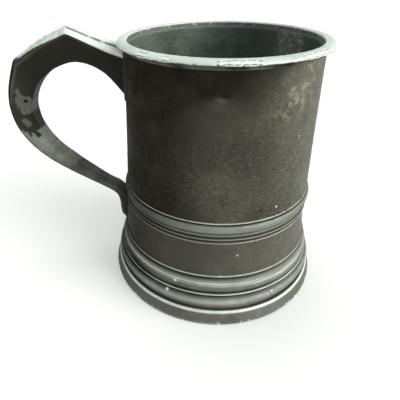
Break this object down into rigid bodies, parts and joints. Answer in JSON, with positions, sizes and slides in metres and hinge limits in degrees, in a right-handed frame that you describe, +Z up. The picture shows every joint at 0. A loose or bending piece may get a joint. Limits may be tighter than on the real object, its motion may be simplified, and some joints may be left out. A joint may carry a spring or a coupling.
{
  "type": "lidless pewter tankard",
  "caption": "Pewter drinking mug with a tapering drum, everted lip, waist band, moulded splayed foot and hollow-cast broken-back handle.",
  "frame": {"origin": "middle of the base of the bounding box, on the surface that the mug stands on; the mug's own axis is parallel to Z at X = 22.8 mm", "axes": "+Z up along the mug's axis, -X along the handle, -Y towards the side that the seam of the handle faces"},
  "size_m": [0.1549, 0.1094, 0.1194],
  "materials": {
    "pewter": "dull dark patina on cast and turned pewter",
    "worn_pewter": "patina rubbed thin on a lip or band",
    "handle_pewter": "cast pewter, dark patina with pale rubbed patches",
    "solder": "dull soft solder"
  },
  "bodies": {
    "root": {"rim_ring": "worn_pewter", "drum": "pewter", "waist_band": "worn_pewter", "lower_body": "pewter", "foot_skirt": "pewter", "foot_ring": "pewter", "base_plate": "pewter", "base_solder": "solder", "handle_body": "handle_pewter", "handle_side": "handle_pewter", "upper_solder": "solder", "lower_solder": "solder"}
  },
  "joints": []
}
